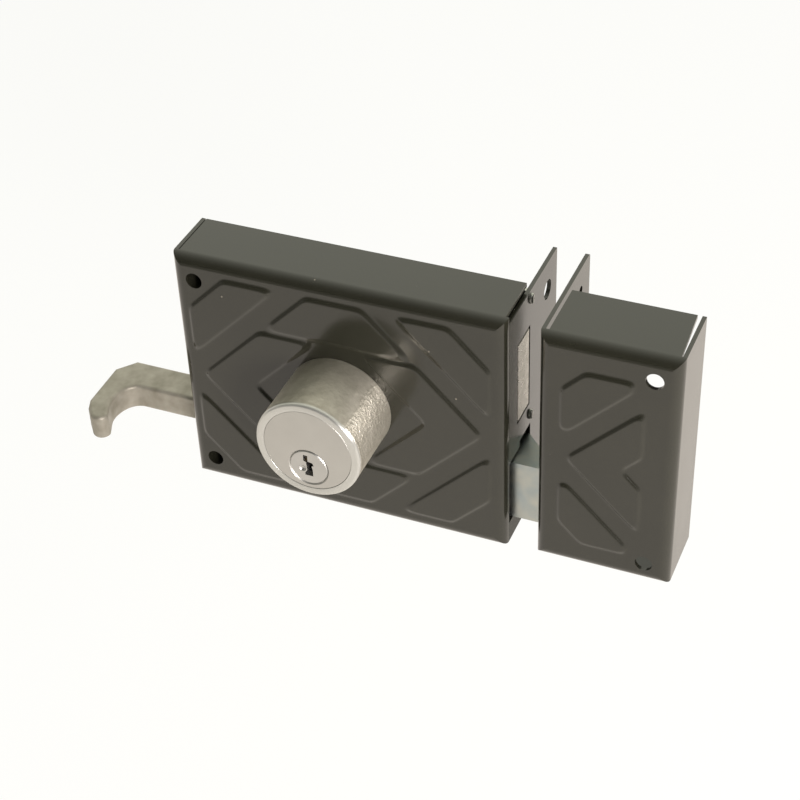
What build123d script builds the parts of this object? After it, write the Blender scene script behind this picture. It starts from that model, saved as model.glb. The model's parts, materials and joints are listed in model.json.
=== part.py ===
from build123d import *
from math import cos, degrees, atan2, radians, sin
import os

# Rim lock for a gate, with its keeper box. Millimetres.
# X runs from the pull lever to the keeper, Y from the front face back to the gate, Z up.
# Y = 0 is the plane of the gate that the lock is screwed to, X = Z = 0 the axis of the cylinder.

# Lock case, one folded sheet
case_width = 100.0
case_height = 80.0
case_front = 21.5          # from the gate to the front face
back_thick = 1.5           # back plate, lies on the gate
sheet = 1.2                # pressed steel sheet of the case and the keeper
bend = 3.2                 # outer radius of the folded edges
seam = 0.3                 # open seam where two flanges meet
forend_height = 75.0
forend_reach = 21.3        # how far the forend runs back past the gate face
flange_right = 49.0        # right end of the top flange, over the edge of the forend

# Pressed decoration on the front faces
press_height = 0.8
press_slope = 1.6          # width of the sloping border of a raised panel
press_corner = 1.8         # has to be more than the slope

# Key cylinder
shroud_radius = 15.8
shroud_length = 22.4
core_radius = 13.3
shank_radius = 12.7        # part of the core that passes through the front sheet
face_step = 0.1            # the core's face lies this far inside the shroud's rim
face_groove = 0.12         # chamfers on both sides of the ring between core and shroud
plug_radius = 5.7
plug_drop = 6.1            # plug axis below the middle of the case
running = 0.05             # radial play of a turning or sliding round part

# Deadbolt, moved by the key
dead_bottom, dead_top = -1.1, 25.9
dead_front, dead_back = -11.4, -1.7
dead_throw = 20.0
dead_head = 28.0           # length of the solid head
key_turn = 100.0           # turning angle that throws the deadbolt
tail_front, tail_back = -9.0, -6.0
tail_bottom, tail_top = 2.0, 24.0
tail_left = -24.0
bolt_rivet_heights = (7.0, 19.0)
small_rivet = 1.5          # radius of rivets and cross pins

# Spring latch and its pull lever
latch_bottom, latch_top = -32.5, -12.3
latch_front, latch_back = -15.4, -1.7
latch_out = 12.5           # how far the latch stands out at rest
latch_head = 26.5
latch_y, latch_z = -7.8, -22.4
rod_radius = 3.0
rod_left = -37.0
lever_front, lever_back = -13.6, -2.35
lever_height = 8.4
lever_end = -24.0          # inner end of the lever, inside the case
lever_pin_x = -30.5
bracket_x, bracket_thick = 2.0, 2.0
spring_outer, spring_inner = 5.2, 4.0

# Fixing holes
case_hole_x, case_hole_z, case_hole_r = -43.2, 32.4, 2.5
forend_hole_y, forend_hole_z, forend_hole_r = 13.35, 28.4, 3.0

# Tenons of the back plate, peened over outside the forend
tenon_heights = (34.7, -5.6, -36.0)
tenon_half = 1.5
tenon_back = -0.1          # the tenons stay just short of the gate face
tenon_head = 0.8

# Guide post and guide plate of the bolts
post_x, post_z, post_radius = 8.0, 18.0, 3.0
guide_x, guide_thick = 43.0, 1.5
guide_play = 0.25

# Keeper, one folded sheet whose left side is the strike
keeper_left, keeper_right = 59.3, 98.6
keeper_mid = 0.6           # height of its middle, a little above the lock's
keeper_height = 78.0
keeper_front = 22.3
pattern_mid = 0.2          # height of the middle of its panels and screw holes
strike_gap = 0.9           # open slit between the strike and the two flanges
flange_taper = 1.0         # how much wider the seam at the right wall is at the gate
strike_reach = 18.6        # how far the strike runs back past the gate face
keeper_hole_x, keeper_hole_gap, keeper_hole_r = 91.3, 32.0, 2.5
strike_hole_y, strike_hole_gap, strike_hole_r = 8.0, 20.0, 2.5
nail_y, nail_gap, nail_r = 10.7, 31.4, 1.5

# Derived places
half_width = case_width / 2
half_height = case_height / 2
inner_right = half_width - sheet
inner_left = sheet - half_width
front_inside = sheet - case_front
forend_half = forend_height / 2
head_left = half_width - dead_head
strike_inside = keeper_left + sheet
cam_reach = dead_throw / (2 * sin(radians(key_turn / 2)))
core_front = face_step - case_front - shroud_length
plug_back = front_inside + 0.2
shear_line = plug_radius - plug_drop
pin_radius = 1.2
pin_play = 0.08
pin_places = [core_front + 3.4 + 3.5 * i for i in range(5)]
clamp_screw_x, clamp_screw_z = 8.6, 4.0
clamp_back = front_inside + 2.0

CUT = Mode.SUBTRACT


def front_plane(y):
    """Plane that looks at the viewer, with local X right and local Y up, at depth y."""
    return Plane.XZ.offset(-y)


def side_plane(x):
    """Plane across the lock, with local X back and local Y up, at width x."""
    return Plane.YZ.offset(x)


def block(x0, x1, y0, y1, z0, z1, mode=Mode.ADD):
    """Box between two opposite corners, in the part that is being built."""
    with Locations(((x0 + x1) / 2, (y0 + y1) / 2, (z0 + z1) / 2)):
        Box(x1 - x0, y1 - y0, z1 - z0, mode=mode)


def bar_x(y, z, radius, x0, x1, mode=Mode.ADD):
    """Round bar along X, in the part that is being built."""
    with Locations(Location(((x0 + x1) / 2, y, z), (0, 90, 0))):
        Cylinder(radius, x1 - x0, mode=mode)


def bar_y(x, z, radius, y0, y1, mode=Mode.ADD):
    """Round bar along Y, in the part that is being built."""
    with Locations(Location((x, (y0 + y1) / 2, z), (90, 0, 0))):
        Cylinder(radius, y1 - y0, mode=mode)


def bar_z(x, y, radius, z0, z1, mode=Mode.ADD):
    """Round bar along Z, in the part that is being built."""
    with Locations((x, y, (z0 + z1) / 2)):
        Cylinder(radius, z1 - z0, mode=mode)


def cut_flange_end(end, wall, y0, y1, z0, z1):
    """Cut a flange back from a wall, to a line that slants away from it from y0 to y1."""
    with BuildSketch(Plane.XY.offset(z0)) as strip:
        with BuildLine():
            Polyline((end, y0), (wall, y0), (wall, y1), (end - flange_taper, y1), close=True)
        make_face()
    extrude(strip.sketch, amount=z1 - z0, mode=CUT)


def finish(name, builder):
    """Label a finished piece and write its file."""
    builder.part.label = name
    export_step(builder.part, "parts/" + name + ".step")


def raised_panel(outline, y):
    """Raised panel with sloping borders on the plane at depth y, from the outline of its foot."""
    slope_angle = degrees(atan2(press_slope, press_height))
    with BuildPart() as panel:
        with BuildSketch(front_plane(y)):
            with BuildLine():
                Polyline(*outline, close=True)
            foot = make_face()
            fillet(foot.vertices(), press_corner)
        extrude(amount=press_height, taper=slope_angle)
    return panel.part


def mirrored(outline, flip_x, flip_z, mid_z=0.0):
    """The same outline on another side of the middle."""
    return [(flip_x * x, mid_z + flip_z * (z - mid_z)) for x, z in outline]


def case_panels():
    """Feet of the eight raised panels of the lock case."""
    corner = [(17.0, 35.0), (34.0, 35.0), (45.9, 23.1), (45.9, 6.1)]
    middle = [(-8.6, 35.0), (8.6, 35.0), (23.0, 20.6), (-23.0, 20.6)]
    chevron = [(6.5, 19.5), (24.2, 19.5), (43.7, 0), (24.2, -19.5), (6.5, -19.5), (26.0, 0)]
    outlines = [mirrored(corner, side, end) for side in (1, -1) for end in (1, -1)]
    outlines += [mirrored(middle, 1, end) for end in (1, -1)]
    outlines += [mirrored(chevron, side, 1) for side in (1, -1)]
    return outlines


def keeper_panels():
    """Feet of the three raised panels of the keeper box."""
    left, right = 65.6, 89.6
    corner = [(left, 9.2), (68.4, 9.2), (86.3, 27.1), (86.3, 30.4), (72.6, 30.4), (left, 23.3)]
    arrow = [(67.3, 0), (right, 22.3), (right, 5.6), (84.0, 0), (right, -5.6), (right, -22.3)]
    return [[(x, z + pattern_mid) for x, z in outline]
            for outline in (corner, arrow, mirrored(corner, 1, -1))]


def make_front_case():
    """Front, four flanges and the long forend, folded from one sheet."""
    raised = [raised_panel(outline, -case_front) for outline in case_panels()]
    hollow = [raised_panel(outline, front_inside) for outline in case_panels()]
    behind_bend = bend - case_front
    with BuildPart() as front_case:
        block(-half_width, half_width, -case_front, -back_thick, -half_height, half_height)
        fillet(front_case.faces().sort_by(Axis.Y)[0].edges(), bend)
        offset(amount=-sheet, openings=front_case.faces().sort_by(Axis.Y)[-1])
        block(inner_right, half_width, -back_thick, forend_reach, -forend_half, forend_half)
        add(raised)
        add(hollow, mode=CUT)
        for bottom, top in ((half_height - sheet, half_height), (-half_height, sheet - half_height)):
            block(inner_left, inner_left + seam, behind_bend, 0, bottom, top, CUT)
        block(inner_right - seam, inner_right, behind_bend, 0, -half_height, sheet - half_height, CUT)
        block(inner_right, half_width, behind_bend, 0, forend_half, half_height - sheet, CUT)
        block(flange_right, half_width, behind_bend, 0, half_height - sheet, half_height, CUT)
        forend_openings()
        front_openings()
    finish("front_case", front_case)


def forend_openings():
    """Openings of the forend for the two bolts, the tenons and the fixing screws."""
    wall = (inner_right, half_width)
    block(*wall, dead_front - 0.4, dead_back + 0.4, dead_bottom - 0.3, dead_top + 0.3, CUT)
    block(*wall, latch_front - 2.7, latch_back + 1.3, latch_bottom - 0.5, latch_top + 1.3, CUT)
    block(*wall, latch_front + 5.9, latch_back + 1.3, latch_top, latch_top + 3.3, CUT)
    for z in tenon_heights:
        block(*wall, -back_thick, tenon_back, z - tenon_half, z + tenon_half, CUT)
    for side in (1, -1):
        bar_x(forend_hole_y, side * forend_hole_z, forend_hole_r, *wall, CUT)


def front_openings():
    """Holes of the front face and the slot in the left wall that the lever slides in."""
    for side in (1, -1):
        bar_y(case_hole_x, side * case_hole_z, case_hole_r, -case_front, front_inside, CUT)
    bar_y(0, 0, shank_radius + 0.1, -case_front, front_inside, CUT)
    half = lever_height / 2 + 0.5
    block(-half_width, inner_left, lever_front - 0.5, lever_back + 0.5, latch_z - half, latch_z + half, CUT)


def make_back_plate():
    """Back plate with tenons that are peened over the forend."""
    top = forend_half - 0.1
    with BuildPart() as back_plate:
        block(inner_left, inner_right, -back_thick, 0, -top, top)
        for z in tenon_heights:
            block(inner_right, half_width, -back_thick, tenon_back, z - tenon_half, z + tenon_half)
        for z in tenon_heights:
            with BuildSketch(side_plane(half_width)):
                with Locations(((tenon_back - back_thick) / 2, z)):
                    Ellipse(back_thick / 2 + 0.4, tenon_half + 0.2)
            extrude(amount=tenon_head)
        fillet(back_plate.faces().group_by(Axis.X)[-1].edges(), 0.6)
        for side in (1, -1):
            bar_y(case_hole_x, side * case_hole_z, case_hole_r, -back_thick, 0, CUT)
    finish("back_plate", back_plate)


def make_fixing_sleeves():
    """Distance sleeves that the two fixing screws pass through."""
    with BuildPart() as fixing_sleeves:
        for side in (1, -1):
            bar_y(case_hole_x, side * case_hole_z, 3.8, front_inside, -back_thick)
        for side in (1, -1):
            bar_y(case_hole_x, side * case_hole_z, case_hole_r, front_inside, -back_thick, CUT)
    finish("fixing_sleeves", fixing_sleeves)


def make_guide_plate():
    """Cross plate behind the forend that steadies the deadbolt and the latch."""
    x0, x1 = guide_x, guide_x + guide_thick
    play = guide_play
    with BuildPart() as guide_plate:
        block(x0, x1, -19.0, -back_thick, -36.0, 31.0)
        block(x0 - 6.0, x0, -3.0, -back_thick, 27.0, 31.0)
        block(x0, x1, dead_front - play, -back_thick, dead_bottom - play, dead_top + play, CUT)
        block(x0, x1, latch_front - play, -back_thick, latch_bottom - play, latch_top + play, CUT)
    finish("guide_plate", guide_plate)


def make_guide_post():
    """Shouldered post on the back plate that the slot of the bolt tail runs on, and its clip."""
    with BuildPart() as guide_post:
        bar_y(post_x, post_z, 4.6, tail_back + 0.2, -back_thick)
        bar_y(post_x, post_z, post_radius, tail_front - 0.4, tail_back + 0.2)
    finish("guide_post", guide_post)
    with BuildPart() as post_clip:
        bar_y(post_x, post_z, 4.4, tail_front - 1.2, tail_front - 0.4)
    finish("post_clip", post_clip)


def make_detent_spring():
    """Leaf that bears on the top of the bolt tail and keeps the deadbolt where it is put."""
    leaf_half = 0.3
    low = tail_top + leaf_half + 0.1
    with BuildPart() as detent_spring:
        with BuildSketch(front_plane(tail_back - 0.2)):
            with BuildLine():
                Polyline((-26, low + 7), (-19, low + 7), (-8, low + 0.8), (-4, low), (0, low + 0.8), (6, low + 4))
                offset(amount=leaf_half, side=Side.LEFT)
            make_face()
        extrude(amount=2.6)
    finish("detent_spring", detent_spring)
    with BuildPart() as detent_block:
        block(-28, -20, -10.5, -back_thick, low + 3.0, low + 7.0)
    finish("detent_block", detent_block)


def make_deadbolt():
    """Deadbolt head, its tail with the talon notch, and the rivets that join them."""
    tail_right = head_left + 10
    rivet_x = head_left + 5
    with BuildPart() as deadbolt:
        block(head_left, half_width, dead_front, dead_back, dead_bottom, dead_top)
        chamfer(deadbolt.faces().sort_by(Axis.X)[-1].edges(), 0.5)
        block(head_left, tail_right, tail_front, tail_back, tail_bottom, tail_top, CUT)
        for z in bolt_rivet_heights:
            bar_y(rivet_x, z, small_rivet, dead_front, dead_back, CUT)
    finish("deadbolt", deadbolt)

    notch_x = -dead_throw / 2
    half, top, flare = 3.45, 10.2, 2.4
    mouth = [(notch_x - half - flare, tail_bottom), (notch_x - half, tail_bottom + flare)]
    mouth += [(notch_x - half, top), (notch_x + half, top)]
    mouth += [(notch_x + half, tail_bottom + flare), (notch_x + half + flare, tail_bottom)]
    slot_left, slot_right = post_x - dead_throw - post_radius - 0.3, post_x + post_radius + 0.3
    with BuildPart() as deadbolt_tail:
        block(tail_left, tail_right, tail_front, tail_back, tail_bottom, tail_top)
        with BuildSketch(front_plane(tail_back)):
            with BuildLine():
                Polyline(*mouth, close=True)
            make_face()
            with Locations(((slot_left + slot_right) / 2, post_z)):
                SlotOverall(slot_right - slot_left, 2 * (post_radius + 0.1))
            with Locations(*[(rivet_x, z) for z in bolt_rivet_heights]):
                Circle(small_rivet)
        extrude(amount=tail_back - tail_front, mode=CUT)
    finish("deadbolt_tail", deadbolt_tail)

    with BuildPart() as deadbolt_rivets:
        for z in bolt_rivet_heights:
            bar_y(rivet_x, z, small_rivet, dead_front, dead_back)
    finish("deadbolt_rivets", deadbolt_rivets)


def make_latch():
    """Latch head with its slanted nose, and the rod behind it."""
    nose = half_width + latch_out
    head_back = nose - latch_head
    with BuildPart() as latch_bolt:
        with BuildSketch(Plane.XY.offset(latch_bottom)):
            with BuildLine():
                Polyline((head_back, latch_front), (nose, latch_front), (nose, latch_front + 1.4),
                         (half_width + 0.5, latch_back), (head_back, latch_back), close=True)
            make_face()
        extrude(amount=latch_top - latch_bottom)
        fillet(latch_bolt.edges().filter_by(Axis.Z).group_by(Axis.X)[-1], 0.4)
        bar_x(latch_y, latch_z, rod_radius, head_back, head_back + 10, CUT)
    finish("latch_bolt", latch_bolt)

    with BuildPart() as latch_rod:
        bar_x(latch_y, latch_z, rod_radius, rod_left, head_back + 10)
        bar_y(lever_pin_x, latch_z, small_rivet, latch_y - rod_radius, latch_y + rod_radius, CUT)
    finish("latch_rod", latch_rod)


def make_pull_lever():
    """Cast pull lever, hooked forward for the finger, and the pin that joins it to the rod."""
    bottom = latch_z - lever_height / 2
    with BuildPart() as pull_lever:
        with BuildSketch(Plane.XY.offset(bottom)):
            with BuildLine():
                Polyline((-71.0, lever_front), (lever_end, lever_front), (lever_end, lever_back),
                         (-78.8, lever_back), (-83.6, -8.2), (-83.2, -24.6), (-81.8, -28.0), (-79.7, -30.6))
                ThreePointArc((-79.7, -30.6), (-76.6, -31.9), (-74.3, -29.2))
                Spline((-74.3, -29.2), (-75.8, -25.8), (-76.7, -23.0), (-76.7, -20.2), (-76.1, -17.7),
                       (-74.6, -15.2), (-71.0, lever_front))
            make_face()
        extrude(amount=lever_height)
        outside = pull_lever.edges().filter_by(lambda edge: edge.center().X < lever_end - 1)
        upright = outside.filter_by(Axis.Z)
        fillet(outside - upright, 1.2)
        bar_x(latch_y, latch_z, rod_radius, rod_left, lever_end, CUT)
        bar_y(lever_pin_x, latch_z, small_rivet, lever_front, lever_back, CUT)
    finish("pull_lever", pull_lever)

    with BuildPart() as lever_pin:
        bar_y(lever_pin_x, latch_z, small_rivet, lever_front, lever_back)
    finish("lever_pin", lever_pin)


def make_latch_spring():
    """Return spring of the latch, as a plain tube, and the fixed bracket that it pushes against."""
    right = bracket_x + bracket_thick
    half = 7.0
    with BuildPart() as spring_bracket:
        block(bracket_x, right, -14.5, -back_thick, latch_z - half, latch_z + half)
        block(bracket_x - 9, bracket_x, -2.5, -back_thick, latch_z - half, latch_z + half)
        bar_x(latch_y, latch_z, rod_radius + running, bracket_x, right, CUT)
    finish("spring_bracket", spring_bracket)

    with BuildPart() as latch_spring:
        bar_x(latch_y, latch_z, spring_outer, right, half_width + latch_out - latch_head)
        bar_x(latch_y, latch_z, spring_inner, right, half_width + latch_out - latch_head, CUT)
    finish("latch_spring", latch_spring)


def make_shroud():
    """Cast outer shell of the key cylinder."""
    front = -case_front - shroud_length
    with BuildPart() as cylinder_shroud:
        bar_y(0, 0, shroud_radius, front, -case_front)
        fillet(cylinder_shroud.faces().sort_by(Axis.Y)[0].edges(), 0.8)
        bar_y(0, 0, core_radius + 0.02, front, -case_front, CUT)
        chamfer(cylinder_shroud.faces().sort_by(Axis.Y)[0].inner_wires()[0].edges(), face_groove)
    finish("cylinder_shroud", cylinder_shroud)


def make_core():
    """Brass core with the plug bore and the five pin chambers."""
    with BuildPart() as cylinder_core:
        bar_y(0, 0, core_radius, core_front, -case_front)
        chamfer(cylinder_core.faces().sort_by(Axis.Y)[0].edges(), face_groove)
        bar_y(0, 0, shank_radius, -case_front, front_inside)
        bar_y(0, -plug_drop, plug_radius + running, core_front, front_inside, CUT)
        chamfer(cylinder_core.faces().sort_by(Axis.Y)[0].inner_wires()[0].edges(), 0.4)
        for y in pin_places:
            bar_z(0, y, pin_radius + pin_play, -plug_drop, core_radius + 1, CUT)
        for side in (1, -1):
            bar_y(side * clamp_screw_x, clamp_screw_z, 2.0, -30, front_inside, CUT)
    finish("cylinder_core", cylinder_core)


def make_clamp():
    """Plate inside the case and two screws that hold the key cylinder."""
    with BuildPart() as clamp_plate:
        bar_y(0, 0, 16.0, front_inside, clamp_back)
        bar_y(0, -plug_drop, 6.6, front_inside, clamp_back, CUT)
        for side in (1, -1):
            bar_y(side * clamp_screw_x, clamp_screw_z, 2.1, front_inside, clamp_back, CUT)
    finish("clamp_plate", clamp_plate)

    head = 2.2
    with BuildPart() as clamp_screws:
        for side in (1, -1):
            bar_y(side * clamp_screw_x, clamp_screw_z, 2.0, -29.5, clamp_back)
            bar_y(side * clamp_screw_x, clamp_screw_z, 3.5, clamp_back, clamp_back + head)
        block(-13, 13, clamp_back + head / 2, clamp_back + head, clamp_screw_z - 0.5, clamp_screw_z + 0.5, CUT)
    finish("clamp_screws", clamp_screws)


def make_plug():
    """Turning key plug with its keyway."""
    keyway = [(-1.5, -2.0), (-0.2, -2.0), (-0.2, -4.0), (1.2, -4.3), (1.6, -5.2), (0.9, -5.5), (1.2, -6.7)]
    keyway += [(1.2, -9.0), (-1.2, -9.0), (-1.2, -8.2), (-0.5, -7.2), (-0.7, -4.4), (-1.5, -4.0)]
    keyway_back = -24.8
    dimple = 1.3
    with BuildPart() as key_plug:
        bar_y(0, -plug_drop, plug_radius, core_front, plug_back)
        chamfer(key_plug.faces().sort_by(Axis.Y)[0].edges(), 0.25)
        with BuildSketch(front_plane(keyway_back)):
            with BuildLine():
                Polyline(*keyway, close=True)
            make_face()
        extrude(amount=keyway_back - core_front, mode=CUT)
        with Locations((-1.9, core_front + 0.6 - dimple, -6.8)):
            Sphere(dimple, mode=CUT)
        for y in pin_places:
            bar_z(0, y, pin_radius + pin_play, -plug_drop, 0, CUT)
        bar_y(0, -plug_drop, small_rivet, plug_back - 4.2, plug_back, CUT)
    finish("key_plug", key_plug)


def make_pins():
    """Key pins in the plug, driver pins and springs above them, and the chamber plugs."""
    key_pin_lengths = (2.2, 3.0, 2.6, 3.4, 2.4)
    driver_bottom, driver_top = shear_line + 0.15, shear_line + 3.35
    chamber_top = 10.4
    with BuildPart() as key_pins:
        for y, length in zip(pin_places, key_pin_lengths):
            bar_z(0, y, pin_radius, shear_line - 0.1 - length, shear_line - 0.1)
        chamfer([solid.faces().sort_by(Axis.Z)[0].edges()[0] for solid in key_pins.solids()], 0.5)
    finish("key_pins", key_pins)

    with BuildPart() as driver_pins:
        for y in pin_places:
            bar_z(0, y, pin_radius, driver_bottom, driver_top)
    finish("driver_pins", driver_pins)

    with BuildPart() as pin_springs:
        for y in pin_places:
            bar_z(0, y, pin_radius - 0.1, driver_top, chamber_top)
            bar_z(0, y, pin_radius - 0.45, driver_top, chamber_top, CUT)
    finish("pin_springs", pin_springs)

    with BuildPart() as chamber_plugs:
        for y in pin_places:
            bar_z(0, y, pin_radius + pin_play, chamber_top, core_radius - 0.5)
    finish("chamber_plugs", chamber_plugs)


def make_cam():
    """Cam behind the plug whose finger moves the bolt tail, and the screw that holds it."""
    disc_back = clamp_back - 0.3
    finger_front, finger_back = tail_front + 0.3, tail_back - 0.3
    tip_radius, shank_half, root_half = 2.5, 1.8, 3.4
    rest = radians(-key_turn / 2)

    def at(reach, side):
        x = sin(rest) * reach + cos(rest) * side
        return (x, cos(rest) * reach - sin(rest) * side - plug_drop)

    with BuildPart() as cam:
        bar_y(0, -plug_drop, 6.4, plug_back, disc_back)
        bar_y(0, -plug_drop, 4.8, disc_back, finger_back)
        with BuildSketch(front_plane(finger_back)):
            with BuildLine():
                Polyline(at(0, -root_half), at(cam_reach, -shank_half), at(cam_reach, shank_half),
                         at(0, root_half), close=True)
            make_face()
            with Locations(at(cam_reach, 0)):
                Circle(tip_radius)
        extrude(amount=finger_back - finger_front)
        bar_y(0, -plug_drop, small_rivet, plug_back, finger_back, CUT)
    finish("cam", cam)

    head_back = finger_back + 2.0
    with BuildPart() as cam_screw:
        bar_y(0, -plug_drop, small_rivet, plug_back - 4.0, finger_back)
        bar_y(0, -plug_drop, 2.9, finger_back, head_back)
        block(-3, 3, head_back - 0.9, head_back, -plug_drop - 0.4, 0.4 - plug_drop, CUT)
    finish("cam_screw", cam_screw)


def make_keeper():
    """Keeper box with its strike, one folded sheet that is open at the back."""
    raised = [raised_panel(outline, -keeper_front) for outline in keeper_panels()]
    hollow = [raised_panel(outline, sheet - keeper_front) for outline in keeper_panels()]
    low, high = keeper_mid - keeper_height / 2, keeper_mid + keeper_height / 2
    behind_bend = bend - keeper_front
    wall_inside = keeper_right - sheet
    with BuildPart() as keeper_box:
        block(keeper_left, keeper_right, -keeper_front, 0, low, high)
        fillet(keeper_box.faces().sort_by(Axis.Y)[0].edges(), bend)
        offset(amount=-sheet, openings=keeper_box.faces().sort_by(Axis.Y)[-1])
        block(keeper_left, strike_inside, 0, strike_reach, low, high)
        fillet(keeper_box.edges().filter_by(Axis.X).group_by(Axis.Y)[-1], 0.8)
        add(raised)
        add(hollow, mode=CUT)
        for bottom, top in ((low, low + sheet), (high - sheet, high)):
            cut_flange_end(wall_inside - seam, wall_inside, behind_bend, 0, bottom, top)
            block(strike_inside, strike_inside + strike_gap, behind_bend, 0, bottom, top, CUT)
        for side in (1, -1):
            z = pattern_mid + side * keeper_hole_gap
            bar_y(keeper_hole_x, z, keeper_hole_r, -keeper_front, sheet - keeper_front, CUT)
        strike_openings()
    finish("keeper_box", keeper_box)


def strike_openings():
    """Openings of the strike for the two bolts, and its screw and nail holes."""
    wall = (keeper_left, strike_inside)
    block(*wall, dead_front - 1.0, dead_back + 1.0, dead_bottom - 1.5, dead_top + 1.5, CUT)
    block(*wall, latch_front - 1.0, latch_back + 1.0, latch_bottom - 1.2, latch_top + 1.5, CUT)
    for side in (1, -1):
        bar_x(strike_hole_y, keeper_mid + side * strike_hole_gap, strike_hole_r, *wall, CUT)
        bar_x(nail_y, keeper_mid + side * nail_gap, nail_r, *wall, CUT)


os.makedirs("parts", exist_ok=True)
make_front_case()
make_back_plate()
make_fixing_sleeves()
make_guide_plate()
make_guide_post()
make_detent_spring()
make_deadbolt()
make_latch()
make_pull_lever()
make_latch_spring()
make_shroud()
make_core()
make_clamp()
make_plug()
make_pins()
make_cam()
make_keeper()
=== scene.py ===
import bpy
import json
import math
import numpy as np
from mathutils import Matrix, Vector, noise


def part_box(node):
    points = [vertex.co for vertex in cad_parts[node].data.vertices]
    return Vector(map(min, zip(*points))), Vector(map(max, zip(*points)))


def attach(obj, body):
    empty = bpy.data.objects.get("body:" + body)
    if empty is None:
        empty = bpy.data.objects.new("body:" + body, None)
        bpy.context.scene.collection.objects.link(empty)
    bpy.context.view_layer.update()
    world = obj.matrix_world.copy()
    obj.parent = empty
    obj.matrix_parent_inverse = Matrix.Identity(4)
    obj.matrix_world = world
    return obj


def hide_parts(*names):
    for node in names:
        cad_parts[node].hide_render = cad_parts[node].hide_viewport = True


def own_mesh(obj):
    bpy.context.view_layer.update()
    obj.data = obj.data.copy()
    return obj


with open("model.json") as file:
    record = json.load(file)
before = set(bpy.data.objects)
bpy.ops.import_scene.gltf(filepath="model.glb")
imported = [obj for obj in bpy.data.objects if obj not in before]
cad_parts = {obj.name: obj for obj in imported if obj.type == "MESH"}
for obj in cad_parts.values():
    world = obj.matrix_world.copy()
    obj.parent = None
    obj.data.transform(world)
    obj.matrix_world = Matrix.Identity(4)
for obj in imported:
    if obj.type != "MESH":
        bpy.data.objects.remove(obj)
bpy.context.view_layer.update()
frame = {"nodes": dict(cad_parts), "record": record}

MM = 0.001

# Viewpoint of the photograph: the place in metres, the camera's own directions and the lens in millimetres
CAMERA_PLACE = (0.18340, -0.39033, 0.32224)
CAMERA_RIGHT = (0.92343, 0.38216, -0.03506)
CAMERA_UP = (-0.21021, 0.58013, 0.78693)
CAMERA_BACK = (0.32107, -0.71930, 0.61605)
CAMERA_LENS = 82.52
CAMERA_NEAR = 0.01

# Lowest and highest corners of the solids that get a finer piece, read from the frame
CASE_LOW, CASE_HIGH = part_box("front_case")
KEEPER_LOW, KEEPER_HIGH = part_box("keeper_box")
SHROUD_LOW, SHROUD_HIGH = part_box("cylinder_shroud")

# Folded sheet, as in the solids: fold radius, height of the pressed panels and radius of the screw holes
BEND = 3.2 * MM
SOLID_PRESS = 0.8 * MM
SCREW_HOLE = 2.5 * MM

# Places on the fronts, in millimetres: the screw holes, and the height of the middle of the keeper's pattern
CASE_HOLE_X, CASE_HOLE_Z = -43.2, 32.4
KEEPER_HOLE_X, KEEPER_HOLE_Z = 91.3, 32.0
KEEPER_MIDDLE = 0.2

# Pressed panels as they are seen: height, width of the slopes, softness of the edges and of the corners,
# then the size of the grid's cells and how far its points are pulled to a screw hole's edge
PRESS_HEIGHT = 0.62 * MM
PRESS_SLOPE = 0.75 * MM
PRESS_SOFTNESS = 0.30 * MM
PRESS_ROUNDING = 1.0 * MM
SKIN_STEP = 0.27 * MM
HOLE_PULL = 0.75 * SKIN_STEP
FLAT_MARGIN = 0.01 * MM

# Shell of the key cylinder: rolled rim, bore, its small lip, a ring behind the lip, and the points round it
SHROUD_RIM = 0.85 * MM
SHROUD_BORE = 13.32 * MM
SHROUD_LIP = 0.12 * MM
BORE_RING = 0.8 * MM
SHROUD_SIDES = 360

# Pits of the shell's rough casting: rows of points along its side, and the rows over which they fade at its
# ends, then the pits' depth, how many there are to a metre, and the share of the coarse ones
SIDE_ROWS = 84
FRONT_FADE_ROWS = 4
BACK_FADE_ROWS = 2
CAST_DEPTH = 0.10 * MM
COARSE_PITS = 900
FINE_PITS = 2100
COARSE_SHARE = 0.6

# The shell's bright turned rim, and where along X its grain starts and is full, with its share before that
TURNED_WIDTH = 0.7 * MM
TURNED_FADE = 0.7 * MM
PEBBLES_START = 10.5 * MM
PEBBLES_FULL = 12.8 * MM
PEBBLES_LEAST = 0.16

# Wound springs: the latch's, and the row of small ones over the pins
LATCH_WIRE = 1.1 * MM
LATCH_TURNS = 10
PIN_COUNT = 5
PIN_SPACING = 3.5 * MM
PIN_WIRE = 0.35 * MM
PIN_TURNS = 7

# Paint: its two tones, the dust on it, and its least and most roughness
PAINT_TONES = ((0.0158, 0.0158, 0.011), (0.022, 0.0215, 0.015))
PAINT_ROUGHNESS = (0.11, 0.19)
PAINT_IOR = 1.58
DUST_COLOUR = (0.30, 0.27, 0.22)
DUST_SHARE = 0.12

# Plating of the cylinder's shell: the casting's two tones and the turned rim
CAST_TONES = ((0.47, 0.44, 0.365), (0.66, 0.625, 0.54))
CAST_ROUGHNESS = (0.24, 0.46)
TURNED_COLOUR = (0.56, 0.56, 0.53)
TURNED_ROUGHNESS = 0.30

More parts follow.
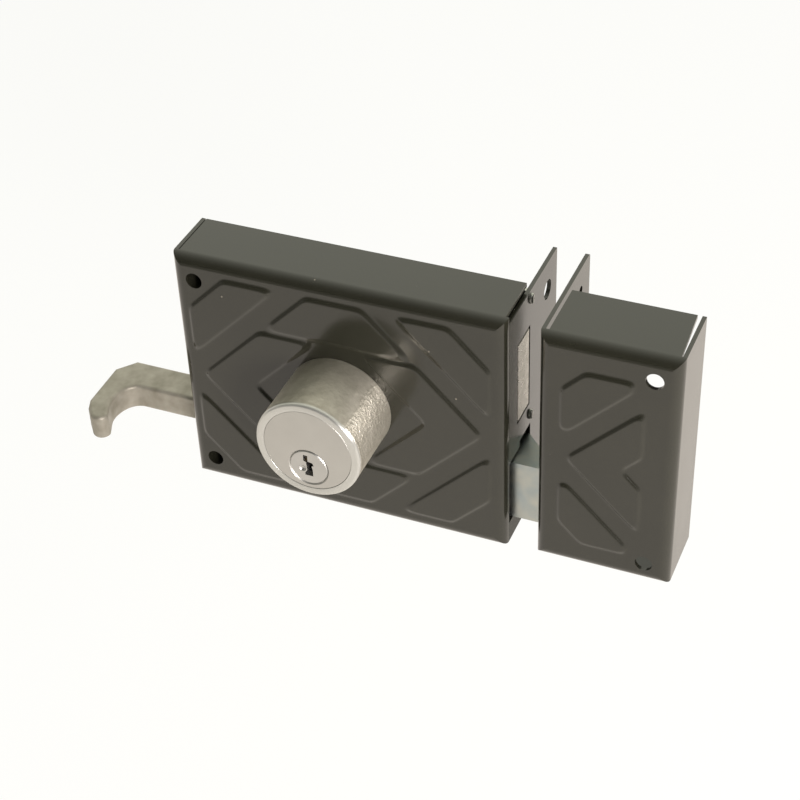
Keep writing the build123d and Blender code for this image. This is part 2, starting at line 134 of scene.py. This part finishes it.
# Other metals: two tones, least and most roughness, grains per millimetre, relief and patches in millimetres
METALS = {
    "zinc_plate": dict(
        tones=((0.42, 0.43, 0.41), (0.56, 0.56, 0.52)), roughness=(0.28, 0.42),
        grain=2.0, relief=0.02, patch=12.0),
    "core_nickel": dict(
        tones=((0.565, 0.56, 0.53), (0.605, 0.60, 0.57)), roughness=(0.42, 0.50),
        grain=3.0, relief=0.008, patch=8.0),
    "plug_nickel": dict(
        tones=((0.54, 0.54, 0.52), (0.61, 0.61, 0.59)), roughness=(0.34, 0.42),
        grain=3.0, relief=0.006, patch=6.0, shift=2.0),
    "pin_brass": dict(
        tones=((0.62, 0.42, 0.16), (0.74, 0.53, 0.24)), roughness=(0.18, 0.30),
        grain=3.0, relief=0.01, patch=3.0),
    "spring_steel": dict(
        tones=((0.20, 0.21, 0.22), (0.32, 0.33, 0.34)), roughness=(0.25, 0.40),
        grain=3.0, relief=0.01, patch=4.0),
    "deadbolt_metal": dict(
        tones=((0.57, 0.55, 0.48), (0.80, 0.77, 0.71)), roughness=(0.22, 0.36),
        grain=1.2, relief=0.05, patch=3.0, shift=1.0, metallic=0.9),
    "latch_zinc": dict(
        tones=((0.36, 0.42, 0.44), (0.52, 0.52, 0.46)), roughness=(0.26, 0.40),
        grain=1.5, relief=0.02, patch=5.0, shift=4.0),
    "lever_metal": dict(
        tones=((0.245, 0.228, 0.184), (0.41, 0.385, 0.333)), roughness=(0.44, 0.58),
        grain=0.9, relief=0.05, patch=4.0, shift=7.0, metallic=0.5),
    "inner_steel": dict(
        tones=((0.38, 0.38, 0.37), (0.50, 0.50, 0.48)), roughness=(0.25, 0.40),
        grain=2.0, relief=0.015, patch=8.0),
}

# Floor below the lock, in metres, with its own two tones and the share of plain white laid over them
FLOOR_HEIGHT = -0.15
FLOOR_REACH = 4.0
FLOOR_SIDES = 96
FLOOR_TONES = ((0.92, 0.92, 0.91), (0.94, 0.94, 0.93))
FLOOR_WHITE = (1.0, 1.0, 0.985)
WHITE_SHARE = 0.85

# The floor as the metals and the paint mirror it: its tint, and its level from front to back along Y
FLOOR_TINT = (1.0, 0.91, 0.82)
FRONT_LEVEL = 1.0
FAR_FRONT_LEVEL = 0.15
FAR_FRONT = (-0.50, -0.28)
BACK_LEVEL = 1.15
FAR_BACK = (0.02, 0.22)

# Painted shade: a round dim patch in the mirrored floor that only the low end of the forend mirrors: its
# middle, inner and outer radius, and level
FOREND_SHADE = (0.087, 0.106, FLOOR_HEIGHT)
SHADE_INNER = 0.018
SHADE_OUTER = 0.038
SHADE_LEVEL = 0.25

# Sky: dark on the viewer's side and bright behind the lock, where it has another tone at the horizon, and
# the stretches of the direction's Y and Z in which it changes
SKY_FRONT = (0.05, 0.05, 0.045)
SKY_BACK = (1.27, 1.27, 1.09)
HORIZON_BACK = (1.5, 1.42, 1.32)
SKY_TURN = (-1.0, 0.9)
SKY_RISE = (0.05, 0.40)

# Square lamps that shine at the lock: name, place and size in metres, power in watts
LAMPS = (
    ("right_lamp", (0.73, -0.77, 0.21), 0.26, 11.0),
    ("side_lamp", (0.98, -0.05, 0.28), 0.30, 5.5),
)
LAMP_TINT = (1.0, 0.94, 0.92)


# Node helpers


def add_node(tree, kind, **settings):
    """A node of that kind, with its attributes or input defaults set."""
    node = tree.nodes.new(kind)
    for name, value in settings.items():
        if hasattr(node, name):
            setattr(node, name, value)
        else:
            node.inputs[name].default_value = value
    return node


def wire(tree, source, target):
    """Links an output to an input."""
    tree.links.new(source, target)


def feed(tree, target, value):
    """Sets an input to a number or a colour, or links it to an output."""
    if isinstance(value, bpy.types.NodeSocket):
        wire(tree, value, target)
    elif isinstance(value, tuple):
        target.default_value = (*value, 1)
    else:
        target.default_value = value


def math_node(tree, operation, first, second=None, clamp=False):
    """Math on one or two sockets or numbers."""
    node = add_node(tree, "ShaderNodeMath", operation=operation, use_clamp=clamp)
    feed(tree, node.inputs[0], first)
    if second is not None:
        feed(tree, node.inputs[1], second)
    return node.outputs[0]


def blended(tree, mask, first, second, kind="RGBA"):
    """Two colours blended by a mask, or two numbers with the kind FLOAT."""
    node = add_node(tree, "ShaderNodeMix", data_type=kind)
    feed(tree, node.inputs["Factor"], mask)
    feed(tree, node.inputs["A"], first)
    feed(tree, node.inputs["B"], second)
    return node.outputs["Result"]


def spread(tree, mask, low, high):
    """A mask stretched between two values."""
    node = add_node(tree, "ShaderNodeMapRange")
    node.inputs["To Min"].default_value = low
    node.inputs["To Max"].default_value = high
    wire(tree, mask, node.inputs["Value"])
    return node.outputs["Result"]


def soft_step(tree, value, ends, low, high):
    """A soft step of a value: low before the first end, high after the second."""
    node = add_node(tree, "ShaderNodeMapRange", interpolation_type="SMOOTHSTEP")
    start, end = ends
    for name, number in (("From Min", start), ("From Max", end), ("To Min", low), ("To Max", high)):
        node.inputs[name].default_value = number
    wire(tree, value, node.inputs["Value"])
    return node.outputs["Result"]


def split_vector(tree, vector):
    """The X, Y and Z outputs of a vector."""
    node = add_node(tree, "ShaderNodeSeparateXYZ")
    wire(tree, vector, node.inputs["Vector"])
    return node.outputs


def bump(tree, height, shader, strength, depth, under=None):
    """Relief on a shader. Depth is in millimetres. Returns the Bump node, for a second relief on top."""
    node = add_node(tree, "ShaderNodeBump", Strength=strength, Distance=depth * MM)
    wire(tree, height, node.inputs["Height"])
    if under is not None:
        wire(tree, under.outputs["Normal"], node.inputs["Normal"])
    wire(tree, node.outputs["Normal"], shader.inputs["Normal"])
    return node


# Effects that several finishes share


def new_group(name, inputs, output):
    """Empty shader node group of numbers. Returns (group, its inputs, its output)."""
    group = bpy.data.node_groups.new(name, "ShaderNodeTree")
    for label, default in inputs.items():
        socket = group.interface.new_socket(name=label, in_out="INPUT", socket_type="NodeSocketFloat")
        socket.default_value = default
    group.interface.new_socket(name=output, in_out="OUTPUT", socket_type="NodeSocketFloat")
    source = group.nodes.new("NodeGroupInput")
    result = group.nodes.new("NodeGroupOutput")
    return group, source.outputs, result.inputs[output]


def grain_group():
    """Fine random relief. Scale is in grains per millimetre."""
    group, values, height = new_group("surface_grain", {"Scale": 1.0, "Roughness": 0.5}, "Height")
    place = add_node(group, "ShaderNodeTexCoord")
    texture = add_node(group, "ShaderNodeTexNoise", Detail=3.0)
    wire(group, place.outputs["Object"], texture.inputs["Vector"])
    wire(group, math_node(group, "MULTIPLY", values["Scale"], 1 / MM), texture.inputs["Scale"])
    wire(group, values["Roughness"], texture.inputs["Roughness"])
    wire(group, texture.outputs["Fac"], height)
    return group


def cloud_group():
    """Broad soft patches. Size is in millimetres, Contrast sharpens them, Shift gives other ones."""
    group, values, mask = new_group("broad_patches", {"Size": 10.0, "Contrast": 1.5, "Shift": 0.0}, "Mask")
    place = add_node(group, "ShaderNodeTexCoord")
    texture = add_node(group, "ShaderNodeTexNoise", noise_dimensions="4D", Detail=2.0)
    wire(group, place.outputs["Object"], texture.inputs["Vector"])
    wire(group, values["Shift"], texture.inputs["W"])
    wire(group, math_node(group, "DIVIDE", 1 / MM, values["Size"]), texture.inputs["Scale"])
    around_zero = math_node(group, "SUBTRACT", texture.outputs["Fac"], 0.5)
    sharpened = math_node(group, "MULTIPLY", around_zero, values["Contrast"])
    wire(group, math_node(group, "ADD", sharpened, 0.5, clamp=True), mask)
    return group


def speck_group():
    """Scattered specks of dust. Spacing and Size are in millimetres, Share is how many cells hold one."""
    group, values, mask = new_group("dust_specks", {"Spacing": 4.0, "Size": 0.25, "Share": 0.3}, "Mask")
    place = add_node(group, "ShaderNodeTexCoord")
    texture = add_node(group, "ShaderNodeTexVoronoi")
    wire(group, place.outputs["Object"], texture.inputs["Vector"])
    wire(group, math_node(group, "DIVIDE", 1 / MM, values["Spacing"]), texture.inputs["Scale"])
    apart = math_node(group, "MULTIPLY", texture.outputs["Distance"], values["Spacing"])
    dot = math_node(group, "SUBTRACT", 1.0, math_node(group, "DIVIDE", apart, values["Size"]), clamp=True)
    cell = add_node(group, "ShaderNodeSeparateColor")
    wire(group, texture.outputs["Color"], cell.inputs["Color"])
    chosen = math_node(group, "LESS_THAN", cell.outputs["Red"], values["Share"])
    wire(group, math_node(group, "MULTIPLY", dot, chosen), mask)
    return group


GRAIN = grain_group()
CLOUD = cloud_group()
SPECKS = speck_group()


def effect(tree, group, **values):
    """The output of a shared effect in a material, with its own values."""
    node = tree.nodes.new("ShaderNodeGroup")
    node.node_tree = group
    for name, value in values.items():
        node.inputs[name].default_value = value
    return node.outputs[0]


# Finishes


def new_material(name, metallic):
    """Empty material with a Principled shader. Returns (material, tree, shader)."""
    material = bpy.data.materials.new(name)
    material.use_nodes = True
    tree = material.node_tree
    shader = tree.nodes["Principled BSDF"]
    shader.inputs["Metallic"].default_value = metallic
    return material, tree, shader


def gate_paint(name):
    """Smooth brown-grey stoving paint on pressed sheet, with a little dust on it."""
    material, tree, shader = new_material(name, metallic=0.0)
    shader.inputs["IOR"].default_value = PAINT_IOR
    paint = blended(tree, effect(tree, CLOUD, Size=26.0, Contrast=1.4), *PAINT_TONES)
    specks = effect(tree, SPECKS, Spacing=7.0, Size=0.34, Share=DUST_SHARE)
    wire(tree, blended(tree, specks, paint, DUST_COLOUR), shader.inputs["Base Color"])
    smears = effect(tree, CLOUD, Size=9.0, Contrast=1.2, Shift=3.0)
    wire(tree, spread(tree, smears, *PAINT_ROUGHNESS), shader.inputs["Roughness"])
    waves = effect(tree, CLOUD, Size=18.0, Contrast=1.0, Shift=6.0)
    under = bump(tree, waves, shader, strength=0.3, depth=0.12)
    peel = effect(tree, GRAIN, Scale=1.6, Roughness=0.4)
    bump(tree, peel, shader, strength=0.10, depth=0.02, under=under)
    return material


def metal(name, tones, roughness, grain, relief, patch, shift=0.0, metallic=1.0):
    """Bare or plated metal: two tones in soft patches, uneven gloss and a fine relief."""
    material, tree, shader = new_material(name, metallic)
    patches = effect(tree, CLOUD, Size=patch, Contrast=1.8, Shift=shift)
    wire(tree, blended(tree, patches, *tones), shader.inputs["Base Color"])
    smears = effect(tree, CLOUD, Size=patch * 0.6, Contrast=1.3, Shift=shift + 5.0)
    wire(tree, spread(tree, smears, *roughness), shader.inputs["Roughness"])
    bump(tree, effect(tree, GRAIN, Scale=grain, Roughness=0.6), shader, strength=0.5, depth=relief)
    return material


def pebbled_plate(name):
    """Satin plating over a rough casting that was brushed round, and turned bright on its rim."""
    material, tree, shader = new_material(name, metallic=0.75)
    around = add_node(tree, "ShaderNodeTangent", direction_type="RADIAL", axis="Y")
    wire(tree, around.outputs["Tangent"], shader.inputs["Tangent"])
    shader.inputs["Anisotropic"].default_value = 0.75
    shader.inputs["Anisotropic Rotation"].default_value = 0.25

    place = split_vector(tree, add_node(tree, "ShaderNodeTexCoord").outputs["Object"])
    rim = SHROUD_LOW[1] + TURNED_WIDTH
    cast = soft_step(tree, place["Y"], (rim, rim + TURNED_FADE), 0.0, 1.0)
    fine = effect(tree, GRAIN, Scale=1.0, Roughness=0.6)
    toned = blended(tree, effect(tree, CLOUD, Size=4.0, Contrast=1.8), *CAST_TONES)
    wire(tree, blended(tree, cast, TURNED_COLOUR, toned), shader.inputs["Base Color"])
    rough = spread(tree, fine, *CAST_ROUGHNESS)
    wire(tree, blended(tree, cast, TURNED_ROUGHNESS, rough, "FLOAT"), shader.inputs["Roughness"])

    beside = math_node(tree, "ABSOLUTE", place["X"])
    shown = soft_step(tree, beside, (PEBBLES_START, PEBBLES_FULL), PEBBLES_LEAST, 1.0)
    pebbles = math_node(tree, "MULTIPLY", math_node(tree, "MULTIPLY", fine, shown), cast)
    bump(tree, pebbles, shader, strength=1.0, depth=0.40)
    return material


def make_finishes():
    """All materials, by the name of their slot in the record."""
    finishes = {name: metal(name, **look) for name, look in METALS.items()}
    finishes["case_paint"] = gate_paint("case_paint")
    finishes["shroud_nickel"] = pebbled_plate("shroud_nickel")
    return finishes


# Pieces


def wear_finish(obj, material):
    """Gives an object one material on all its faces."""
    obj.data.materials.clear()
    obj.data.materials.append(material)
    for face in obj.data.polygons:
        face.material_index = 0


def dress_solids(finishes):
    """Finish of every solid that stays visible, by its slot in the record."""
    for part in frame["record"]["subparts"]:
        wear_finish(frame["nodes"][part["node"]], finishes[part["material_slot"]])


def piece(name, points, faces, body, slot_name, finishes):
    """A smooth mesh piece of the object on a body, with the finish of a slot."""
    mesh = bpy.data.meshes.new(name)
    mesh.from_pydata([tuple(p) for p in points], [], [tuple(f) for f in faces])
    mesh.polygons.foreach_set("use_smooth", [True] * len(mesh.polygons))
    mesh.update()
    obj = bpy.data.objects.new(name, mesh)
    bpy.context.scene.collection.objects.link(obj)
    wear_finish(obj, finishes[slot_name])
    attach(obj, body)
    return obj


# Pressed fronts of the lock case and the keeper


def inside_distance(x, z, outline):
    """How far each point lies inside a closed outline, in the outline's units, and below zero outside it."""
    nearest = np.full(x.shape, np.inf)
    inside = np.zeros(x.shape, dtype=bool)
    for (ax, az), (bx, bz) in zip(outline, outline[1:] + outline[:1]):
        ex, ez = bx - ax, bz - az
        along = np.clip(((x - ax) * ex + (z - az) * ez) / (ex * ex + ez * ez), 0, 1)
        nearest = np.minimum(nearest, np.hypot(x - ax - along * ex, z - az - along * ez))
        crosses = (az > z) != (bz > z)
        with np.errstate(divide="ignore", invalid="ignore"):
            at = ax + (z - az) * ex / np.where(ez == 0, np.inf, ez)
        inside ^= crosses & (x < at)
    return np.where(inside, nearest, -nearest)


def soften(field, reach):
    """A height field blurred by a bell of that width, in grid steps."""
    span = int(math.ceil(3 * reach))
    bell = np.exp(-0.5 * (np.arange(-span, span + 1) / reach) ** 2)
    bell /= bell.sum()
    padded = np.pad(field, span, mode="edge")
    rows = np.apply_along_axis(lambda line: np.convolve(line, bell, mode="valid"), 0, padded)
    return np.apply_along_axis(lambda line: np.convolve(line, bell, mode="valid"), 1, rows)


def pressed_relief(x, z, outlines):
    """Height of the pressed panels over the flat sheet at each point of a grid."""
    nearest = np.full(x.shape, -1.0)
    for outline in outlines:
        nearest = np.maximum(nearest, inside_distance(x, z, outline))
    rounded = soften(nearest, PRESS_ROUNDING / SKIN_STEP)
    height = np.clip(rounded / PRESS_SLOPE, 0, 1)
    return soften(height, PRESS_SOFTNESS / SKIN_STEP) * PRESS_HEIGHT


def onto_hole(x, z, hole):
    """A grid with its points near a screw hole's edge pulled onto it, and which of its cells lie outside."""
    hole_x, hole_z = hole
    apart = np.hypot(x - hole_x, z - hole_z)
    near = np.abs(apart - SCREW_HOLE) < HOLE_PULL
    pull = np.where(near, SCREW_HOLE / np.maximum(apart, 1e-9), 1.0)
    x, z = hole_x + (x - hole_x) * pull, hole_z + (z - hole_z) * pull
    apart = np.hypot(x - hole_x, z - hole_z)
    middle = (apart[:-1, :-1] + apart[1:, :-1] + apart[:-1, 1:] + apart[1:, 1:]) / 4
    return x, z, middle > SCREW_HOLE


def pressed_face(low, high, outlines, holes):
    """Front grid of a folded box with its pressed panels. Returns (points, faces, normals of the points)."""
    left, right = low[0] + BEND, high[0] - BEND
    bottom, top = low[2] + BEND, high[2] - BEND
    columns = int(round((right - left) / SKIN_STEP)) + 1
    rows = int(round((top - bottom) / SKIN_STEP)) + 1
    x, z = np.meshgrid(np.linspace(left, right, columns), np.linspace(bottom, top, rows), indexing="ij")
    relief = pressed_relief(x, z, outlines)
    slope_x = np.gradient(relief, x[:, 0], axis=0)
    slope_z = np.gradient(relief, z[0], axis=1)
    keep = np.ones((columns - 1, rows - 1), dtype=bool)
    for hole in holes:
        x, z, outside = onto_hole(x, z, hole)
        keep &= outside
    points = np.stack([x, low[1] + SOLID_PRESS - relief, z], axis=-1).reshape(-1, 3)
    normals = np.stack([-slope_x, -np.ones_like(x), -slope_z], axis=-1).reshape(-1, 3)
    normals /= np.linalg.norm(normals, axis=1)[:, None]
    i, j = np.nonzero(keep)
    corner = i * rows + j
    faces = np.stack([corner, corner + rows, corner + rows + 1, corner + 1], axis=-1)
    return points, faces, normals


def solid_mesh(node):
    """Triangles of a solid as (corner points, corner normals), three rows for each triangle."""
    mesh = frame["nodes"][node].data
    mesh.calc_loop_triangles()
    corners = np.empty(len(mesh.loop_triangles) * 3, dtype=np.int32)
    mesh.loop_triangles.foreach_get("loops", corners)
    places = np.empty(len(mesh.vertices) * 3)
    mesh.vertices.foreach_get("co", places)
    owners = np.empty(len(mesh.loops), dtype=np.int32)
    mesh.loops.foreach_get("vertex_index", owners)
    normals = np.empty(len(mesh.loops) * 3)
    mesh.corner_normals.foreach_get("vector", normals)
    return places.reshape(-1, 3)[owners[corners]], normals.reshape(-1, 3)[corners]


def pressed_box(node, low, high, outlines, holes, body, finishes):
    """The folded box of a solid, with a finely pressed front in place of its plain one."""
    corners, corner_normals = solid_mesh(node)
    depths = corners[:, 1].reshape(-1, 3)
    kept = np.repeat((depths >= low[1] + SOLID_PRESS + FLAT_MARGIN).any(axis=1), 3)
    rest, rest_normals = corners[kept], corner_normals[kept]
    points, faces, normals = pressed_face(low, high, outlines, holes)
    rest_faces = (np.arange(len(rest)) + len(points)).reshape(-1, 3)
    all_points = np.concatenate([points, rest])
    all_faces = faces.tolist() + rest_faces.tolist()
    obj = piece(node + "_pressed", all_points, all_faces, body, "case_paint", finishes)
    all_normals = np.concatenate([normals[faces.reshape(-1)], rest_normals])
    obj.data.normals_split_custom_set(all_normals.tolist())
    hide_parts(node)


def flipped(outline, side_x, side_z):
    """An outline mirrored where a side is -1."""
    return [(side_x * x, side_z * z) for x, z in outline]


def case_pattern():
    """Feet of the lock case's raised panels: four corners, two between them and two chevrons."""
    top, side = 35.0, 45.9
    corner = [(17.0, top), (34.0, top), (side, 23.1), (side, 6.1)]
    between = [(-8.6, top), (8.6, top), (23.0, 20.6), (-23.0, 20.6)]
    chevron = [(6.5, 19.5), (24.2, 19.5), (43.7, 0), (24.2, -19.5), (6.5, -19.5), (26.0, 0)]
    outlines = [flipped(corner, x, z) for x in (1, -1) for z in (1, -1)]
    outlines += [flipped(between, 1, z) for z in (1, -1)]
    outlines += [flipped(chevron, x, 1) for x in (1, -1)]
    return [[(x * MM, z * MM) for x, z in outline] for outline in outlines]


def keeper_pattern():
    """Feet of the keeper's raised panels: two corners and an arrow between them."""
    left, right = 65.6, 89.6
    corner = [(left, 9.2), (68.4, 9.2), (86.3, 27.1), (86.3, 30.4), (72.6, 30.4), (left, 23.3)]
    arrow = [(67.3, 0), (right, 22.3), (right, 5.6), (84.0, 0), (right, -5.6), (right, -22.3)]
    outlines = [corner, arrow, flipped(corner, 1, -1)]
    return [[(x * MM, (z + KEEPER_MIDDLE) * MM) for x, z in outline] for outline in outlines]


def make_case(finishes):
    """Lock case with its eight pressed panels."""
    holes = [(CASE_HOLE_X * MM, side * CASE_HOLE_Z * MM) for side in (1, -1)]
    pressed_box("front_case", CASE_LOW, CASE_HIGH, case_pattern(), holes, "lock_case", finishes)


def make_keeper(finishes):
    """Keeper box with its three pressed panels."""
    holes = [(KEEPER_HOLE_X * MM, (KEEPER_MIDDLE + side * KEEPER_HOLE_Z) * MM) for side in (1, -1)]
    pressed_box("keeper_box", KEEPER_LOW, KEEPER_HIGH, keeper_pattern(), holes, "keeper_body", finishes)


# Key cylinder


def quarter_turn(steps):
    """Cosine and sine at even steps of a quarter turn."""
    angles = [math.pi / 2 * step / steps for step in range(steps + 1)]
    return [(math.cos(angle), math.sin(angle)) for angle in angles]


def shroud_profile():
    """Closed profile of the shell, from its bore over the rim to the back: (radius, depth, share of pits)."""
    radius = SHROUD_HIGH[0]
    front, back = SHROUD_LOW[1], SHROUD_HIGH[1]
    profile = [(SHROUD_BORE, back, 0), (SHROUD_BORE, front + BORE_RING, 0)]
    for cosine, sine in quarter_turn(4):
        profile.append((SHROUD_BORE + SHROUD_LIP * (1 - cosine), front + SHROUD_LIP * (1 - sine), 0))
    for cosine, sine in quarter_turn(8):
        profile.append((radius - SHROUD_RIM + SHROUD_RIM * sine, front + SHROUD_RIM * (1 - cosine), 0))
    for step in range(1, SIDE_ROWS + 1):
        share = min(1.0, step / FRONT_FADE_ROWS, (SIDE_ROWS - step) / BACK_FADE_ROWS)
        depth = front + SHROUD_RIM + (back - front - SHROUD_RIM) * step / SIDE_ROWS
        profile.append((radius, depth, share))
    return profile


def cast_pits(at):
    """Depth of the rough casting's pits at a place."""
    coarse = noise.noise(at * COARSE_PITS) * 0.5 + 0.5
    fine = noise.noise(at * FINE_PITS) * 0.5 + 0.5
    return CAST_DEPTH * (COARSE_SHARE * coarse + (1 - COARSE_SHARE) * fine)


def lathe_rings(profile, steps, relief):
    """Points and faces of a closed profile of (radius, depth, share of relief) turned about the Y axis."""
    points = []
    for radius, depth, share in profile:
        for step in range(steps):
            angle = 2 * math.pi * step / steps
            around = Vector((math.sin(angle), 0, math.cos(angle)))
            at = around * radius + Vector((0, depth, 0))
            points.append(at - around * (relief(at) * share))
    faces = []
    for ring in range(len(profile)):
        here, following = ring * steps, (ring + 1) % len(profile) * steps
        for step in range(steps):
            beside = (step + 1) % steps
            faces.append((here + step, here + beside, following + beside, following + step))
    return points, faces


def make_shroud(finishes):
    """Shell of the key cylinder: a rough cast side, a smooth rolled rim and a bore for the core."""
    points, faces = lathe_rings(shroud_profile(), SHROUD_SIDES, cast_pits)
    obj = piece("cylinder_shroud_cast", points, faces, "lock_case", "shroud_nickel", finishes)
    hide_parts("cylinder_shroud")


# Springs


def coil_points(start, along, across, radius, length, turns, steps_per_turn):
    """Points of a helix about a line from a start, the first of them across from it."""
    along, across = Vector(along), Vector(across)
    third = along.cross(across)
    steps = turns * steps_per_turn
    points = []
    for step in range(steps + 1):
        share = step / steps
        angle = 2 * math.pi * turns * share
        around = across * math.cos(angle) + third * math.sin(angle)
        points.append(Vector(start) + along * (length * share) + around * radius)
    return points


def wire_tube(points, thickness, sides):
    """Round wire along a line of points, with closed ends."""
    rings = []
    count = len(points)
    normal = None
    for place, at in enumerate(points):
        ahead = (points[min(place + 1, count - 1)] - points[max(place - 1, 0)]).normalized()
        if normal is None:
            normal = ahead.orthogonal().normalized()
        normal = (normal - ahead * normal.dot(ahead)).normalized()
        other = ahead.cross(normal)
        for side in range(sides):
            angle = 2 * math.pi * side / sides
            rings.append(at + (normal * math.cos(angle) + other * math.sin(angle)) * thickness / 2)
    faces = []
    for place in range(count - 1):
        here, following = place * sides, (place + 1) * sides
        for side in range(sides):
            beside = (side + 1) % sides
            faces.append((here + side, here + beside, following + beside, following + side))
    faces.append(tuple(range(sides - 1, -1, -1)))
    faces.append(tuple(range((count - 1) * sides, count * sides)))
    return rings, faces


def make_latch_spring(finishes):
    """The latch's return spring on its rod."""
    low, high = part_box("latch_spring")
    middle = [(low[1] + high[1]) / 2, (low[2] + high[2]) / 2]
    length = high[0] - low[0]
    helix = coil_points(
        start=(low[0] + LATCH_WIRE / 2, middle[0], middle[1]), along=(1, 0, 0), across=(0, 0, 1),
        radius=(high[1] - low[1] - LATCH_WIRE) / 2, length=length - LATCH_WIRE,
        turns=LATCH_TURNS, steps_per_turn=20)
    points, faces = wire_tube(helix, LATCH_WIRE, sides=8)
    spring = piece("latch_spring_coil", points, faces, "lock_case", "spring_steel", finishes)
    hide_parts("latch_spring")
    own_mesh(spring)


def make_pin_springs(finishes):
    """One small upright spring over each pair of pins, all in one piece."""
    low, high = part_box("pin_springs")
    radius = (high[0] - low[0] - PIN_WIRE) / 2
    all_points, all_faces = [], []
    for place in range(PIN_COUNT):
        helix = coil_points(
            start=(0, low[1] + radius + PIN_WIRE / 2 + PIN_SPACING * place, low[2] + PIN_WIRE / 2),
            along=(0, 0, 1), across=(1, 0, 0), radius=radius, length=high[2] - low[2] - PIN_WIRE,
            turns=PIN_TURNS, steps_per_turn=14)
        points, faces = wire_tube(helix, PIN_WIRE, sides=6)
        shift = len(all_points)
        all_points += points
        all_faces += [tuple(corner + shift for corner in face) for face in faces]
    springs = piece("pin_spring_coils", all_points, all_faces, "lock_case", "spring_steel", finishes)
    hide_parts("pin_springs")


# Surroundings


def mirrored_level(tree, position):
    """Brightness of the mirrored floor: dim far in front, a little brighter behind, and one patch of painted
    shade.
    """
    depth = split_vector(tree, position)["Y"]
    front = soft_step(tree, depth, FAR_FRONT, FAR_FRONT_LEVEL, FRONT_LEVEL)
    back = soft_step(tree, depth, FAR_BACK, 0.0, BACK_LEVEL - FRONT_LEVEL)
    # Painted shade: the mirrored floor is dimmed round one place, which the low end of the forend reflects
    apart = add_node(tree, "ShaderNodeVectorMath", operation="DISTANCE")
    wire(tree, position, apart.inputs[0])
    apart.inputs[1].default_value = FOREND_SHADE
    shade = soft_step(tree, apart.outputs["Value"], (SHADE_INNER, SHADE_OUTER), SHADE_LEVEL, 1.0)
    return math_node(tree, "MULTIPLY", math_node(tree, "ADD", front, back), shade)


def floor_material():
    """Pale floor that keeps the shadow: plain white where it is seen, and tinted where it is mirrored."""
    material = bpy.data.materials.new("pale_floor")
    material.use_nodes = True
    tree = material.node_tree
    tree.nodes.clear()
    plain = add_node(tree, "ShaderNodeBsdfDiffuse")
    patches = effect(tree, CLOUD, Size=300.0, Contrast=0.2)
    wire(tree, blended(tree, patches, *FLOOR_TONES), plain.inputs["Color"])

    path = add_node(tree, "ShaderNodeLightPath")
    mirrored = path.outputs["Is Glossy Ray"]
    seen = math_node(tree, "MAXIMUM", path.outputs["Is Camera Ray"], mirrored)
    seen = math_node(tree, "MAXIMUM", seen, path.outputs["Is Transmission Ray"])
    position = add_node(tree, "ShaderNodeNewGeometry").outputs["Position"]
    glow = add_node(tree, "ShaderNodeEmission")
    wire(tree, blended(tree, mirrored, FLOOR_WHITE, FLOOR_TINT), glow.inputs["Color"])
    level = blended(tree, mirrored, 1.0, mirrored_level(tree, position), "FLOAT")
    wire(tree, level, glow.inputs["Strength"])

    mix = add_node(tree, "ShaderNodeMixShader")
    wire(tree, math_node(tree, "MULTIPLY", seen, WHITE_SHARE), mix.inputs["Fac"])
    wire(tree, plain.outputs["BSDF"], mix.inputs[1])
    wire(tree, glow.outputs["Emission"], mix.inputs[2])
    out = add_node(tree, "ShaderNodeOutputMaterial")
    wire(tree, mix.outputs["Shader"], out.inputs["Surface"])
    return material


def make_floor():
    """Round pale floor below the lock."""
    angles = [2 * math.pi * side / FLOOR_SIDES for side in range(FLOOR_SIDES)]
    ring = [(FLOOR_REACH * math.cos(angle), FLOOR_REACH * math.sin(angle), FLOOR_HEIGHT) for angle in angles]
    mesh = bpy.data.meshes.new("floor")
    mesh.from_pydata(ring, [], [tuple(range(FLOOR_SIDES))])
    floor = bpy.data.objects.new("floor", mesh)
    bpy.context.scene.collection.objects.link(floor)
    floor.data.materials.append(floor_material())


def make_sky():
    """Soft room light: dark on the viewer's side, bright behind the lock, where the horizon is brightest."""
    world = bpy.data.worlds.new("soft_room")
    world.use_nodes = True
    bpy.context.scene.world = world
    tree = world.node_tree
    way = split_vector(tree, add_node(tree, "ShaderNodeTexCoord").outputs["Generated"])
    side = soft_step(tree, way["Y"], SKY_TURN, 0.0, 1.0)
    height = soft_step(tree, way["Z"], SKY_RISE, 0.0, 1.0)
    horizon = blended(tree, side, SKY_FRONT, HORIZON_BACK)
    overhead = blended(tree, side, SKY_FRONT, SKY_BACK)
    background = tree.nodes["Background"]
    wire(tree, blended(tree, height, horizon, overhead), background.inputs["Color"])
    background.inputs["Strength"].default_value = 1.0


def make_lamps():
    """Soft square lamps on the right of the lock."""
    for name, place, size, power in LAMPS:
        light = bpy.data.lights.new(name, "AREA")
        light.shape = "SQUARE"
        light.size = size
        light.energy = power
        light.color = LAMP_TINT
        lamp = bpy.data.objects.new(name, light)
        lamp.location = place
        lamp.rotation_euler = (-Vector(place)).to_track_quat("-Z", "Y").to_euler()
        bpy.context.scene.collection.objects.link(lamp)


def make_camera():
    """Camera at the viewpoint of the photograph."""
    data = bpy.data.cameras.new("photo_camera")
    data.lens = CAMERA_LENS
    data.clip_start = CAMERA_NEAR
    camera = bpy.data.objects.new("photo_camera", data)
    turn = Matrix((CAMERA_RIGHT, CAMERA_UP, CAMERA_BACK)).transposed().to_4x4()
    camera.matrix_world = Matrix.Translation(CAMERA_PLACE) @ turn
    bpy.context.scene.collection.objects.link(camera)
    bpy.context.scene.camera = camera


finishes = make_finishes()
dress_solids(finishes)
make_case(finishes)
make_keeper(finishes)
make_shroud(finishes)
make_latch_spring(finishes)
make_pin_springs(finishes)

make_floor()
make_sky()
make_lamps()
make_camera()
bpy.context.scene.view_settings.view_transform = "Standard"
